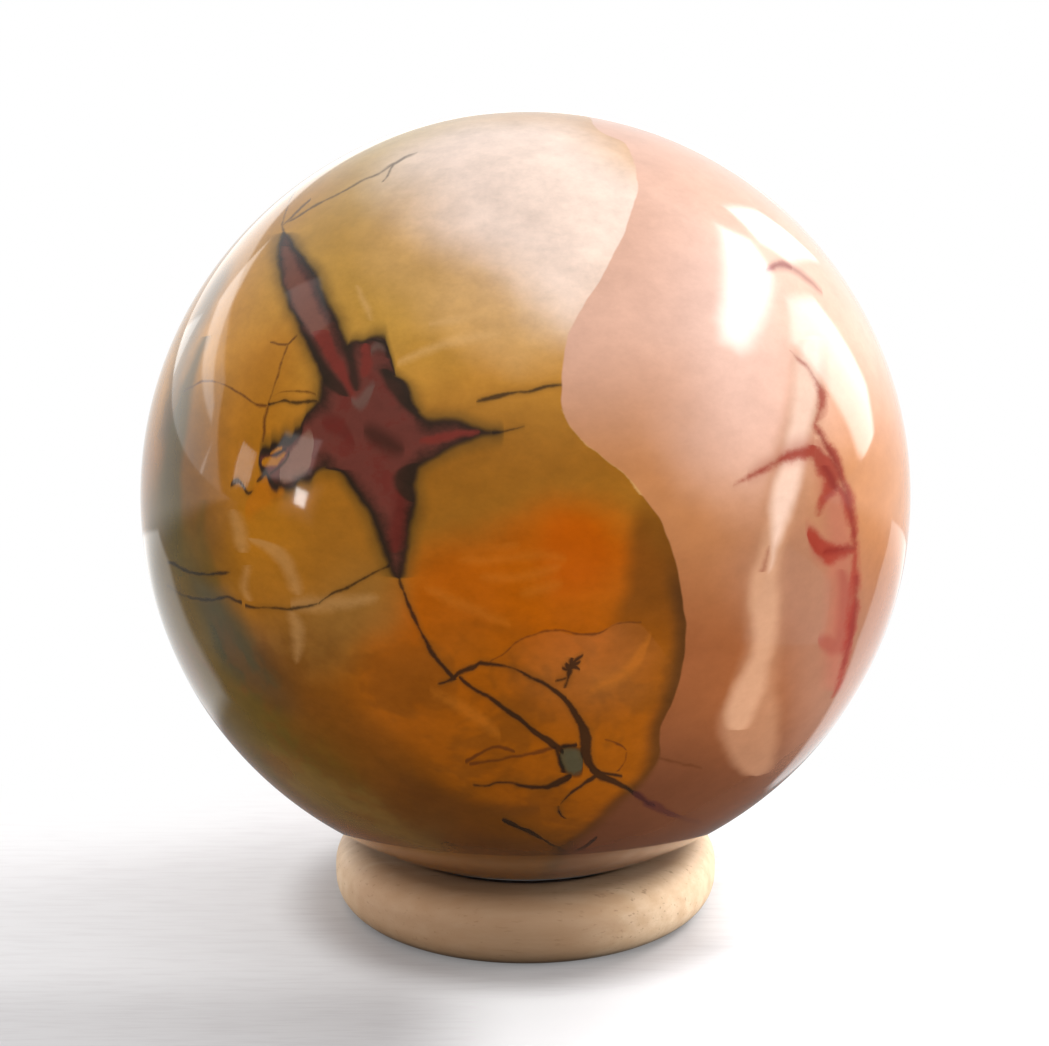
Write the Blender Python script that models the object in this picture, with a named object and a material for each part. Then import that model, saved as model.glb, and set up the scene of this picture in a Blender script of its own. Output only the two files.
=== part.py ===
# Polished jasper ball on a turned wooden ring stand.
# Units are metres, +Z is up, and the origin is on the surface that the ring stands on, under the ball's centre.
# Azimuth zero of the ball's markings faces -Y, which is the front.

import math

import bmesh
import bpy

# Driving dimensions
BALL_DIAMETER = 0.0750
RING_OUTER_DIAMETER = 0.0384
RING_HOLE_DIAMETER = 0.0224
RING_HEIGHT = 0.0070
RING_ROUNDING = 0.0030
SEAT_GAP = 0.0003

# How finely the round shapes are divided
TURNED_STEPS = 64
BALL_ROWS = 32
STEPS_PER_ROUNDING = 5
MERGE_DISTANCE = 0.000001
SMOOTH_BELOW = math.radians(30)

# Sizes that follow from the driving dimensions
BALL_RADIUS = BALL_DIAMETER / 2
RING_WIDTH = (RING_OUTER_DIAMETER - RING_HOLE_DIAMETER) / 2
RING_MIDDLE_RADIUS = (RING_OUTER_DIAMETER + RING_HOLE_DIAMETER) / 4


def ball_centre_height():
    """Height at which the ball rests on the round inner top edge of the ring."""
    edge_centre_radius = RING_MIDDLE_RADIUS - RING_WIDTH / 2 + RING_ROUNDING
    edge_centre_height = RING_HEIGHT - RING_ROUNDING
    reach = BALL_RADIUS + RING_ROUNDING + SEAT_GAP
    return edge_centre_height + math.sqrt(reach**2 - edge_centre_radius**2)


def plain_material(name, colour, roughness):
    """A Principled material with one colour, for the structural model."""
    material = bpy.data.materials.new(name)
    material.use_nodes = True
    shader = material.node_tree.nodes["Principled BSDF"]
    shader.inputs["Base Color"].default_value = (*colour, 1.0)
    shader.inputs["Roughness"].default_value = roughness
    shader.inputs["Metallic"].default_value = 0.0
    material.diffuse_color = (*colour, 1.0)
    return material


def object_from(bm, name, material):
    """Turns a finished bmesh into a named, smooth shaded object in the scene."""
    bmesh.ops.recalc_face_normals(bm, faces=bm.faces)
    mesh = bpy.data.meshes.new(name)
    bm.to_mesh(mesh)
    bm.free()
    mesh.shade_smooth()
    mesh.set_sharp_from_angle(angle=SMOOTH_BELOW)
    mesh.materials.append(material)
    made = bpy.data.objects.new(name, mesh)
    bpy.context.scene.collection.objects.link(made)
    return made


def rounded_section():
    """Outline of the ring's wall as (radius, height) points, with a round at each of its four corners."""
    half_width = RING_WIDTH / 2 - RING_ROUNDING
    half_height = RING_HEIGHT / 2 - RING_ROUNDING
    corners = ((1, 1), (-1, 1), (-1, -1), (1, -1))
    outline = []
    for quarter, (side, level) in enumerate(corners):
        for step in range(STEPS_PER_ROUNDING + 1):
            angle = math.pi / 2 * (quarter + step / STEPS_PER_ROUNDING)
            radius = RING_MIDDLE_RADIUS + side * half_width + RING_ROUNDING * math.cos(angle)
            height = RING_HEIGHT / 2 + level * half_height + RING_ROUNDING * math.sin(angle)
            outline.append((radius, height))
    return outline


def make_ball():
    """The ball: one solid stone, turned and polished round."""
    bm = bmesh.new()
    bmesh.ops.create_uvsphere(bm, u_segments=TURNED_STEPS, v_segments=BALL_ROWS, radius=BALL_RADIUS)
    ball = object_from(bm, "jasper_sphere", plain_material("jasper", (0.55, 0.33, 0.12), 0.12))
    ball.location = (0, 0, ball_centre_height())
    return ball


def make_ring():
    """The stand: one ring of pale wood, its section turned about the vertical axis."""
    bm = bmesh.new()
    corners = [bm.verts.new((radius, 0, height)) for radius, height in rounded_section()]
    edges = [bm.edges.new((start, end)) for start, end in zip(corners, corners[1:] + corners[:1])]
    bmesh.ops.spin(
        bm,
        geom=corners + edges,
        cent=(0, 0, 0),
        axis=(0, 0, 1),
        angle=math.tau,
        steps=TURNED_STEPS,
        use_merge=True,
    )
    bmesh.ops.remove_doubles(bm, verts=bm.verts, dist=MERGE_DISTANCE)
    return object_from(bm, "ring_stand", plain_material("pale_wood", (0.68, 0.50, 0.33), 0.55))


def clear_scene():
    for old in list(bpy.data.objects):
        bpy.data.objects.remove(old)


clear_scene()
make_ring()
make_ball()
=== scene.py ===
# A polished mookaite jasper ball on its turned wooden ring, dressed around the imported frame.
# Metres, +Z up; the photograph looks along +Y from a little above.

import math

import bpy
from mathutils import Euler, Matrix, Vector


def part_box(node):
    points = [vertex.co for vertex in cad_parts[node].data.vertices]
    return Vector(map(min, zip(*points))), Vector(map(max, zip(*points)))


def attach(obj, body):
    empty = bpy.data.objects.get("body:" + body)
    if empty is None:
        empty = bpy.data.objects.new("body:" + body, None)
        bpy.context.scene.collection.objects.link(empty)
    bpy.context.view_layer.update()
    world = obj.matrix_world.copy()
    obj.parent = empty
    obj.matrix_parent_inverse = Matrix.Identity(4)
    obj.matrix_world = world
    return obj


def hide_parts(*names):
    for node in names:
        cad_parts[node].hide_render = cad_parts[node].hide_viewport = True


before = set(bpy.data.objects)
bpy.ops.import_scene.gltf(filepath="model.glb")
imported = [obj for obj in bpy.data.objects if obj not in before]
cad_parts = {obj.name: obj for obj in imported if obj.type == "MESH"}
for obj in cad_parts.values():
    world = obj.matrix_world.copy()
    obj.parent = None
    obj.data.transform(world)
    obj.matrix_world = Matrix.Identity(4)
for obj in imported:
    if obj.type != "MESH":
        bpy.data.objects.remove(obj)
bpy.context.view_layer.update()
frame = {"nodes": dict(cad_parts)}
print("frame loaded:", ", ".join(frame["nodes"]))

scene = bpy.context.scene
scene.view_settings.view_transform = "Standard"
scene.cycles.max_bounces = 3
scene.cycles.diffuse_bounces = 2
scene.cycles.glossy_bounces = 2

ballLow, ballHigh = (Vector(corner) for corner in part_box("jasper_sphere"))
ringLow, ringHigh = (Vector(corner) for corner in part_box("ring_stand"))
ballCentre = (ballLow + ballHigh) / 2
ballRadius = (ballHigh.z - ballLow.z) / 2
white = (1.0, 1.0, 1.0, 1.0)


class Wire:
    # An output socket in a node tree. Sums written on wires become Math nodes.

    def __init__(self, tree, socket):
        self.tree = tree
        self.socket = socket

    def maths(self, operation, *others):
        values = dict(enumerate((self, *others)))
        return addNode(self.tree, "ShaderNodeMath", {"operation": operation}, values)

    def vector(self, operation, *others, out=0):
        values = dict(enumerate((self, *others)))
        return addNode(self.tree, "ShaderNodeVectorMath", {"operation": operation}, values, out)

    def __add__(self, other):
        return self.maths("ADD", other)

    def __sub__(self, other):
        return self.maths("SUBTRACT", other)

    def __rsub__(self, other):
        return addNode(self.tree, "ShaderNodeMath", {"operation": "SUBTRACT"}, {0: other, 1: self})

    def __mul__(self, other):
        return self.maths("MULTIPLY", other)

    __radd__ = __add__
    __rmul__ = __mul__

    def least(self, other):
        return self.maths("MINIMUM", other)

    def most(self, other):
        return self.maths("MAXIMUM", other)

    def size(self):
        return self.maths("ABSOLUTE")

    def dot(self, direction):
        return self.vector("DOT_PRODUCT", direction, out=1)

    def distance(self, point):
        return self.vector("DISTANCE", point, out=1)

    def stretched(self, x, y, z):
        return self.vector("MULTIPLY", (x, y, z))

    def scaled(self, by):
        # a vector or a colour, times a number
        return addNode(self.tree, "ShaderNodeVectorMath", {"operation": "SCALE"}, {0: self, "Scale": by})

    def ramp(self, low, high, start=0.0, end=1.0):
        # a smooth step from start at low to end at high
        return addNode(
            self.tree,
            "ShaderNodeMapRange",
            {"interpolation_type": "SMOOTHSTEP"},
            {"Value": self, "From Min": low, "From Max": high, "To Min": start, "To Max": end},
        )

    def curve(self, points):
        return addNode(self.tree, "ShaderNodeFloatCurve", {"curve": points}, {"Value": self})

    def mix(self, under, over):
        # this wire is the factor between two colours
        return addNode(self.tree, "ShaderNodeMix", {"data_type": "RGBA"}, {0: self, 6: under, 7: over}, 2)

    def noise(self, scale, detail=2.0, roughness=0.5, out="Fac"):
        values = {"Vector": self, "Scale": scale, "Detail": detail, "Roughness": roughness}
        return addNode(self.tree, "ShaderNodeTexNoise", None, values, out)

    def shaken(self, shake, amount):
        # moves each point by a noise colour, which stays within amount either way
        half = shake.vector("SUBTRACT", (0.5, 0.5, 0.5))
        return half.vector("MULTIPLY_ADD", (2 * amount,) * 3, self)

    def to(self, kind):
        # the tree's last node, which takes this shader
        end = self.tree.nodes.new(kind)
        self.tree.links.new(self.socket, end.inputs["Surface"])


def addNode(tree, kind, settings=None, values=None, out=0):
    made = tree.nodes.new(kind)
    for name, value in (settings or {}).items():
        if name == "curve":
            shapeCurve(made.mapping, value)
        else:
            setattr(made, name, value)
    for name, value in (values or {}).items():
        if isinstance(value, Wire):
            tree.links.new(value.socket, made.inputs[name])
        else:
            made.inputs[name].default_value = value
    return Wire(tree, made.outputs[out])


def shapeCurve(mapping, points):
    mapping.use_clip = False
    line = mapping.curves[0]
    while len(line.points) < len(points):
        line.points.new(*points[len(line.points)])
    for knot, place in zip(line.points, points):
        knot.location = place
        knot.handle_type = "AUTO_CLAMPED"
    mapping.update()


def screenColour(red, green, blue):
    # what a screen shows as 0 to 255, in the linear values that shaders use
    def linear(level):
        level = level / 255
        return level / 12.92 if level <= 0.04045 else ((level + 0.055) / 1.055) ** 2.4

    return (linear(red), linear(green), linear(blue), 1.0)


def newMaterial(name):
    material = bpy.data.materials.new(name)
    material.use_nodes = True
    material.node_tree.nodes.clear()
    return material, material.node_tree


camera = {
    "distance": 0.300,  # from the ball's centre
    "elevation": 15.7,  # degrees above the horizontal
    "drop": 0.515,  # degrees that it is aimed below the ball's centre
    "turn": 0.019,  # degrees to the left
    "lens": 104.95,
    "sensor": 36.0,
    "nearest": 0.01,  # that it sees, in metres
    "photoSize": (1049, 1046),
}

rise = math.radians(camera["elevation"])
towardCamera = Vector((0, -math.cos(rise), math.sin(rise)))
upInPhoto = Vector((0, math.sin(rise), math.cos(rise)))
acrossPhoto = Vector((1, 0, 0))
cameraPlace = ballCentre + camera["distance"] * towardCamera
cameraTurn = Euler((math.pi / 2 - rise - math.radians(camera["drop"]), 0, math.radians(camera["turn"])))
pixelsPerRadius = 410  # in the middle of the ball


def makeCamera():
    lens = bpy.data.cameras.new("photoCamera")
    lens.lens = camera["lens"]
    lens.sensor_width = camera["sensor"]
    lens.clip_start = camera["nearest"]
    eye = bpy.data.objects.new("photoCamera", lens)
    eye.location = cameraPlace
    eye.rotation_euler = cameraTurn
    scene.collection.objects.link(eye)
    scene.camera = eye


def onBall(x, y):
    # where pixel (x, y) of the photograph meets the ball, in radii from the ball's centre
    width, height = camera["photoSize"]
    pixels = camera["lens"] / camera["sensor"] * width
    sight = Vector(((x - width / 2) / pixels, (height / 2 - y) / pixels, -1)).normalized()
    sight.rotate(cameraTurn)
    start = (cameraPlace - ballCentre) / ballRadius
    nearest = -start.dot(sight)
    inside = 1 - (start.length_squared - nearest**2)
    return (start + sight * (nearest - math.sqrt(max(inside, 0)))).normalized()


def flatSpot(x, y):
    # the same place as seen flat from the front, across and up
    place = onBall(x, y)
    return Vector((place.dot(acrossPhoto), place.dot(upInPhoto)))


def mirroredFrom(x, y):
    # the direction of the thing that the ball shows as a reflection at pixel (x, y)
    place = onBall(x, y)
    back = ((cameraPlace - ballCentre) / ballRadius - place).normalized()
    return 2 * place.dot(back) * place - back


makeCamera()
print("camera made")

studio = {
    "everywhere": 0.07,  # brightness of the room all round
    "behind": 0.95,  # added behind the ball
    "turnToBack": (-0.15, 0.75),  # how far back a direction points where that starts and where it is full
    "above": 0.50,  # added above it
    "turnUp": (0.2, 1.0),
    "toTheRight": 0.25,  # share by which the right is brighter than the middle
    "tint": (0.985, 1.0, 1.0, 1.0),
}

# Windows that only the polish shows, by the corners of their reflections in pixels of the photograph
panes = {
    "key": {
        "corners": [(724, 230), (748, 242), (768, 272), (766, 298), (752, 344), (740, 351), (722, 340),
                    (718, 318)],
        "light": 16.0,
        "soft": 0.10,
    },
    "keyGlow": {
        "corners": [(700, 225), (772, 262), (768, 345), (740, 372), (690, 330)],
        "light": 3.6,
        "soft": 0.60,
    },
    "streak": {
        "corners": [(700, 187), (760, 213), (812, 247), (811, 255), (789, 261), (760, 243)],
        "light": 6.5,
        "soft": 0.05,
    },
    "window": {
        "corners": [(784, 284), (818, 299), (834, 304), (866, 385), (882, 440), (878, 488), (857, 452),
                    (790, 341)],
        "light": 5.5,
        "soft": 0.06,
    },
    "rightEdge": {
        "corners": [(908, 470), (884, 380), (893, 430), (892, 500), (891, 560), (906, 560)],
        "light": 0.8,
        "soft": 0.03,
    },
    "leftEdgeHigh": {
        "corners": [(140, 530), (213, 311), (177, 379), (157, 440), (156, 540)],
        "light": 1.0,
        "soft": 0.012,
    },
    "curtain": {
        "corners": [(213, 311), (277, 233), (242, 283), (222, 347), (220, 380), (211, 424), (203, 400),
                    (202, 372)],
        "light": 2.0,
        "soft": 0.020,
    },
    "curtainFold": {
        "corners": [(254, 251), (241, 289), (230, 366), (226, 380), (228, 330), (238, 286)],
        "light": 1.2,
        "soft": 0.02,
    },
    "slat": {
        "corners": [(222, 424), (227, 426), (203, 470), (196, 510), (191, 508), (197, 480)],
        "light": 2.2,
        "soft": 0.01,
    },
    "flag": {
        "corners": [(295, 287), (284, 293), (313, 338), (331, 322), (322, 276)],
        "light": 0.9,
        "soft": 0.02,
    },
    "blinds": {
        "corners": [(244, 441), (261, 457), (250, 479), (248, 490), (232, 482), (237, 461)],
        "light": 6.5,
        "soft": 0.012,
        "stripes": 300,  # the higher, the finer
        "stripeEdge": 0.3,  # the higher, the softer
        "betweenStripes": 0.05,  # share of the light that is left there
    },
    "armPane": {
        "corners": [(287, 431), (322, 441), (311, 474), (296, 482), (262, 478)],
        "light": 2.2,
        "soft": 0.02,
    },
    "spark": {"corners": [(297, 487), (308, 492), (304, 508), (294, 502)], "light": 22.0, "soft": 0.012},
    "sparkGlow": {"corners": [(292, 480), (316, 490), (308, 516), (284, 506)], "light": 1.1, "soft": 0.12},
}

# Lamps that light the things but aren't seen in the polish
lamps = {
    "window": {"place": (0.50, 0.38, 0.44), "size": 0.28, "watts": 4.0, "colour": (1.0, 0.985, 0.96)},
    "front": {"place": (-0.10, -0.60, 0.30), "size": 0.6, "watts": 2.2, "colour": (1.0, 0.97, 0.93)},
    "top": {"place": (0.12, 0.10, 0.75), "size": 1.4, "watts": 1.3, "colour": (1.0, 0.98, 0.96)},
    "right": {"place": (0.60, -0.02, 0.08), "size": 0.25, "watts": 2.2, "colour": (1.0, 0.97, 0.94)},
    "left": {"place": (-0.60, -0.02, 0.06), "size": 0.20, "watts": 0.7, "colour": (1.0, 0.97, 0.94)},
}


def makeStudio():
    # the camera sees a plain white backdrop, dull surfaces a soft room, and the polish its windows too
    world = bpy.data.worlds.new("studio")
    world.use_nodes = True
    world.cycles.sampling_method = "NONE"
    scene.world = world
    tree = world.node_tree
    tree.nodes.clear()
    direction = addNode(tree, "ShaderNodeTexCoord", out="Generated")
    across = direction.dot((1, 0, 0)) * studio["toTheRight"] + 1
    behind = direction.dot((0, 1, 0)).ramp(*studio["turnToBack"], 0.0, studio["behind"])
    above = direction.dot((0, 0, 1)).ramp(*studio["turnUp"], 0.0, studio["above"])
    soft = (behind + above) * across + studio["everywhere"]
    windows = soft
    for pane in panes.values():
        windows = windows + paneOfLight(direction, pane)
    room = addNode(tree, "ShaderNodeBackground", None, {"Color": studio["tint"], "Strength": soft})
    polish = addNode(tree, "ShaderNodeBackground", None, {"Color": studio["tint"], "Strength": windows})
    backdrop = addNode(tree, "ShaderNodeBackground", None, {"Color": white})
    inPolish = addNode(tree, "ShaderNodeLightPath", out="Is Glossy Ray")
    seen = addNode(tree, "ShaderNodeLightPath", out="Is Camera Ray")
    light = addNode(tree, "ShaderNodeMixShader", None, {0: inPolish, 1: room, 2: polish})
    addNode(tree, "ShaderNodeMixShader", None, {0: seen, 1: light, 2: backdrop}).to("ShaderNodeOutputWorld")
    for name, lamp in lamps.items():
        addLamp(name + "Lamp", lamp)


def addLamp(name, lamp):
    light = bpy.data.lights.new(name, "AREA")
    light.shape = "DISK"
    light.size = lamp["size"]
    light.energy = lamp["watts"]
    light.color = lamp["colour"]
    holder = bpy.data.objects.new(name, light)
    holder.location = lamp["place"]
    holder.rotation_euler = (Vector(lamp["place"]) - ballCentre).to_track_quat("Z", "Y").to_euler()
    holder.visible_glossy = False
    scene.collection.objects.link(holder)


def paneOfLight(direction, pane):
    corners = [mirroredFrom(x, y) for x, y in pane["corners"]]
    middle = sum(corners, Vector()).normalized()
    inside = None
    for start, end in zip(corners, corners[1:] + corners[:1]):
        edge = start.cross(end).normalized()
        if edge.dot(middle) < 0:
            edge = -edge
        within = direction.dot(edge)
        inside = within if inside is None else inside.least(within)
    light = inside.ramp(-pane["soft"] / 2, pane["soft"] / 2, 0.0, pane["light"])
    if "stripes" in pane:
        acrossPane = (corners[0] - corners[1]).normalized() * pane["stripes"]
        wave = direction.dot(acrossPane).maths("SINE")
        light = light * wave.ramp(-pane["stripeEdge"], pane["stripeEdge"], pane["betweenStripes"], 1.0)
    return light


makeStudio()
print("studio light made")

floor = {
    "reach": 1.5,
    "colour": (0.50, 0.485, 0.50, 1.0),
    "darkGrain": (0.45, 0.43, 0.445, 1.0),
    "grain": (130.0, 1300.0, 1.0),  # long along X
    "grainLevels": (0.25, 0.62),  # of the noise, from dark grain to plain board
    "roughness": 0.6,
    # added to what the camera sees, to keep the shadow light
    "lift": {"frontLeft": 0.20, "left": 0.36, "right": 0.60, "far": 0.80},
    "nearStand": 0.25,  # share of the lift that is left beside the ring, which paints shade there
    # where each of these starts and where it is complete, in metres
    "frontToLeft": (-0.030, -0.016),
    "leftToRight": (-0.014, 0.0),
    "besideStand": (0.0195, 0.0265),
    "rightOfStand": (0.012, 0.024),
    "underStand": (0.011, 0.013),
    "beyondPhoto": (0.065, 0.110),
    "boardEndsBack": (0.004, 0.030),
    "boardEndsRound": (0.028, 0.050),
    "dullFrontToBack": (-0.03, 0.06),
    "dullToRight": (0.010, 0.030),
    "dullLeftToMiddle": (-0.030, -0.012),
    "dullFromStand": (0.012, 0.030),
    "polishFrontToBack": (-0.03, 0.04),
    "polishFar": (0.07, 0.13),
    "patchesFade": (0.2, 0.8),  # towards the horizon
    "toDull": {"front": 0.05, "behind": 0.65, "right": 3.2, "left": 1.9},  # light it gives to dull surfaces
    "inPolish": {"front": 0.05, "behind": 0.32, "far": 0.7},  # how bright the ball shows it
}

# Bright places on the floor that only the polish shows, by the corners of their reflections in pixels;
# those listed under limb lie along the ball's edge
floorPatches = {
    "rightEdge": {
        "corners": [(892, 520), (880, 572), (869, 610), (858, 640), (835, 698), (808, 741), (770, 785)],
        "limb": [(776, 789), (853, 698), (884, 638), (906, 545)],
        "light": 0.9,
        "soft": 0.004,
    },
    "facet": {
        "corners": [(788, 544), (831, 582), (830, 596), (823, 642), (740, 640), (770, 560)],
        "light": 0.4,
        "soft": 0.003,
    },
    "leftEdge": {
        "corners": [(158, 530), (168, 560), (201, 649), (219, 681), (227, 698)],
        "limb": [(217, 724), (172, 649), (146, 560), (143, 535)],
        "light": 0.75,
        "soft": 0.008,
    },
    "leftHaze": {
        "corners": [(170, 575), (210, 640), (228, 690), (262, 690), (262, 640), (225, 590)],
        "light": 0.4,
        "soft": 0.040,
    },
}


def mirroredOnFloor(x, y):
    # the place on the floor that the ball shows as a reflection at pixel (x, y)
    start = ballCentre + onBall(x, y) * ballRadius
    heading = mirroredFrom(x, y)
    return (start - heading * (start.z / heading.z)).xy


def patchOnFloor(place, patch):
    corners = [mirroredOnFloor(x, y) for x, y in patch["corners"] + patch.get("limb", [])]
    middle = sum(corners, Vector((0, 0))) / len(corners)
    inside = None
    for start, end in zip(corners, corners[1:] + corners[:1]):
        along = (end - start).normalized()
        inward = Vector((-along.y, along.x))
        if inward.dot(middle - start) < 0:
            inward = -inward
        within = place.dot((*inward, 0)) - inward.dot(start)
        inside = within if inside is None else inside.least(within)
    return inside.ramp(-patch["soft"] / 2, patch["soft"] / 2, 0.0, patch["light"])


def makeFloor():
    mesh = bpy.data.meshes.new("floor")
    reach = floor["reach"]
    corners = [(-reach, -reach, 0), (reach, -reach, 0), (reach, reach, 0), (-reach, reach, 0)]
    mesh.from_pydata(corners, [], [(0, 1, 2, 3)])
    made = bpy.data.objects.new("floor", mesh)
    scene.collection.objects.link(made)
    material, tree = newMaterial("paintedBoard")
    material.cycles.emission_sampling = "NONE"
    place = addNode(tree, "ShaderNodeTexCoord", out="Object")
    fromStand = place.distance((0, 0, 0))
    toBack = place.dot((0, 1, 0))
    toRight = place.dot((1, 0, 0))
    # what the camera sees: painted board that fades into the white backdrop
    fibres = place.stretched(*floor["grain"]).noise(1.0, 2.0, 0.7)
    board = fibres.ramp(*floor["grainLevels"]).mix(floor["darkGrain"], floor["colour"])
    # painted light on the board: an emitted lift, stronger to the right and far off; less of it beside the
    # ring and none under it is painted shade
    lift = toBack.ramp(*floor["frontToLeft"], floor["lift"]["frontLeft"], floor["lift"]["left"])
    lift = toRight.ramp(*floor["leftToRight"], lift, floor["lift"]["right"])
    near = fromStand.ramp(*floor["besideStand"], floor["nearStand"], 1.0)
    near = near.most(toRight.ramp(*floor["rightOfStand"]))
    lift = lift * near * fromStand.ramp(*floor["underStand"])
    lift = lift.most(fromStand.ramp(*floor["beyondPhoto"], 0.0, floor["lift"]["far"]))
    values = {
        "Base Color": board,
        "Roughness": floor["roughness"],
        "Emission Color": white,
        "Emission Strength": lift,
    }
    table = addNode(tree, "ShaderNodeBsdfPrincipled", None, values)
    backdrop = addNode(tree, "ShaderNodeEmission", None, {"Color": white, "Strength": 1.0})
    away = toBack.ramp(*floor["boardEndsBack"]) * fromStand.ramp(*floor["boardEndsRound"])
    toCamera = addNode(tree, "ShaderNodeMixShader", None, {0: away, 1: table, 2: backdrop})
    # what lights the dull surfaces
    dull = floor["toDull"]
    share = toBack.ramp(*floor["dullFrontToBack"], dull["front"], dull["behind"])
    share = share.most(toRight.ramp(*floor["dullToRight"], 0.0, dull["right"]))
    share = share.most(toRight.ramp(*floor["dullLeftToMiddle"], dull["left"], 0.0))
    share = share * fromStand.ramp(*floor["dullFromStand"])
    toDull = addNode(tree, "ShaderNodeEmission", None, {"Color": studio["tint"], "Strength": share})
    # what the polish shows
    shown = floor["inPolish"]
    mirrored = toBack.ramp(*floor["polishFrontToBack"], shown["front"], shown["behind"])
    mirrored = mirrored + toBack.ramp(*floor["polishFar"], 0.0, shown["far"])
    close = fromStand.ramp(*floor["patchesFade"], 1.0, 0.0)
    for patch in floorPatches.values():
        mirrored = mirrored + patchOnFloor(place, patch) * close
    toPolish = addNode(tree, "ShaderNodeEmission", None, {"Color": studio["tint"], "Strength": mirrored})
    inPolish = addNode(tree, "ShaderNodeLightPath", out="Is Glossy Ray")
    seen = addNode(tree, "ShaderNodeLightPath", out="Is Camera Ray")
    unseen = addNode(tree, "ShaderNodeMixShader", None, {0: inPolish, 1: toDull, 2: toPolish})
    painted = addNode(tree, "ShaderNodeMixShader", None, {0: seen, 1: unseen, 2: toCamera})
    painted.to("ShaderNodeOutputMaterial")
    mesh.materials.append(material)


makeFloor()
print("floor made")


def newGeometryTree(name, sockets):
    tree = bpy.data.node_groups.new(name, "GeometryNodeTree")
    tree.interface.new_socket("Geometry", in_out="OUTPUT", socket_type="NodeSocketGeometry")
    for label, kind in sockets.items():
        tree.interface.new_socket(label, in_out="INPUT", socket_type=kind)
    start = tree.nodes.new("NodeGroupInput")
    return tree, {socket.name: Wire(tree, socket) for socket in start.outputs if socket.name}


def endGeometryTree(shape, material):
    tree = shape.tree
    smooth = addNode(tree, "GeometryNodeSetShadeSmooth", None, {"Geometry": shape})
    real = addNode(tree, "GeometryNodeRealizeInstances", None, {"Geometry": smooth})
    dressed = addNode(tree, "GeometryNodeSetMaterial", None, {"Geometry": real, "Material": material})
    end = tree.nodes.new("NodeGroupOutput")
    tree.links.new(dressed.socket, end.inputs[0])
    return tree


def meshFromTree(name, tree, settings):
    # runs the tree once and keeps its result as a plain mesh
    holder = bpy.data.objects.new(name, bpy.data.meshes.new(name + "Start"))
    scene.collection.objects.link(holder)
    modifier = holder.modifiers.new("shape", "NODES")
    modifier.node_group = tree
    for item in tree.interface.items_tree:
        if item.in_out == "INPUT":
            modifier[item.identifier] = settings[item.name]
    graph = bpy.context.evaluated_depsgraph_get()
    mesh = bpy.data.meshes.new_from_object(holder.evaluated_get(graph), depsgraph=graph)
    mesh.name = name
    holder.modifiers.remove(modifier)
    bpy.data.objects.remove(holder)
    made = bpy.data.objects.new(name, mesh)
    scene.collection.objects.link(made)
    return made


ball = {
    "divisions": 128,  # along each edge of the cube that is blown up into the ball
    "outOfRound": 0.000008,  # hand polishing leaves the ball very slightly uneven
    "unevenness": 2.0,  # how many of the low spots there are across one radius
}


def ballTree():
    sockets = {
        "Radius": "NodeSocketFloat",
        "Centre": "NodeSocketVector",
        "Divisions": "NodeSocketInt",
        "Out Of Round": "NodeSocketFloat",
        "Unevenness": "NodeSocketFloat",
        "Material": "NodeSocketMaterial",
    }
    tree, inputs = newGeometryTree("blownUpCube", sockets)
    points = inputs["Divisions"] + 1
    values = {"Size": (2, 2, 2), "Vertices X": points, "Vertices Y": points, "Vertices Z": points}
    cube = addNode(tree, "GeometryNodeMeshCube", None, values)
    place = addNode(tree, "GeometryNodeInputPosition")
    # the tangent spreads the squares evenly before they are pushed out to the round
    outward = place.scaled(math.pi / 4).vector("TANGENT").vector("NORMALIZE")
    lowSpots = outward.noise(inputs["Unevenness"])
    reach = inputs["Radius"] - inputs["Out Of Round"] * lowSpots
    moved = outward.scaled(reach).vector("ADD", inputs["Centre"])
    shaped = addNode(tree, "GeometryNodeSetPosition", None, {"Geometry": cube, "Position": moved})
    return endGeometryTree(shaped, inputs["Material"])


def makeBall(material):
    settings = {
        "Radius": ballRadius,
        "Centre": ballCentre,
        "Divisions": ball["divisions"],
        "Out Of Round": ball["outOfRound"],
        "Unevenness": ball["unevenness"],
        "Material": material,
    }
    made = meshFromTree("jasperBall", ballTree(), settings)
    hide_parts("jasper_sphere")
    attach(made, "root")


ring = {
    "hole": 0.0112,  # radius of the hole
    "rounding": 0.003,
    "stepsRound": 256,
    "stepsPerCorner": 10,
}


def ringTree():
    sockets = {
        "Middle Radius": "NodeSocketFloat",
        "Width": "NodeSocketFloat",
        "Height": "NodeSocketFloat",
        "Rounding": "NodeSocketFloat",
        "Steps Round": "NodeSocketInt",
        "Steps Per Corner": "NodeSocketInt",
        "Material": "NodeSocketMaterial",
    }
    tree, inputs = newGeometryTree("turnedRing", sockets)
    values = {"Width": inputs["Width"], "Height": inputs["Height"]}
    section = addNode(tree, "GeometryNodeCurvePrimitiveQuadrilateral", {"mode": "RECTANGLE"}, values)
    values = {"Curve": section, "Radius": inputs["Rounding"], "Count": inputs["Steps Per Corner"]}
    rounded = addNode(tree, "GeometryNodeFilletCurve", {"mode": "POLY"}, values)
    values = {"Radius": inputs["Middle Radius"], "Resolution": inputs["Steps Round"]}
    around = addNode(tree, "GeometryNodeCurvePrimitiveCircle", {"mode": "RADIUS"}, values)
    swept = addNode(tree, "GeometryNodeCurveToMesh", None, {"Curve": around, "Profile Curve": rounded})
    lift = addNode(tree, "ShaderNodeCombineXYZ", None, {"Z": inputs["Height"] * 0.5})
    raised = addNode(tree, "GeometryNodeTransform", None, {"Geometry": swept, "Translation": lift})
    return endGeometryTree(raised, inputs["Material"])


def makeRing(material):
    outer = (ringHigh.x - ringLow.x) / 2
    settings = {
        "Middle Radius": (outer + ring["hole"]) / 2,
        "Width": outer - ring["hole"],
        "Height": ringHigh.z - ringLow.z,
        "Rounding": ring["rounding"],
        "Steps Round": ring["stepsRound"],
        "Steps Per Corner": ring["stepsPerCorner"],
        "Material": material,
    }
    made = meshFromTree("woodRing", ringTree(), settings)
    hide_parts("ring_stand")
    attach(made, "root")


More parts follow.
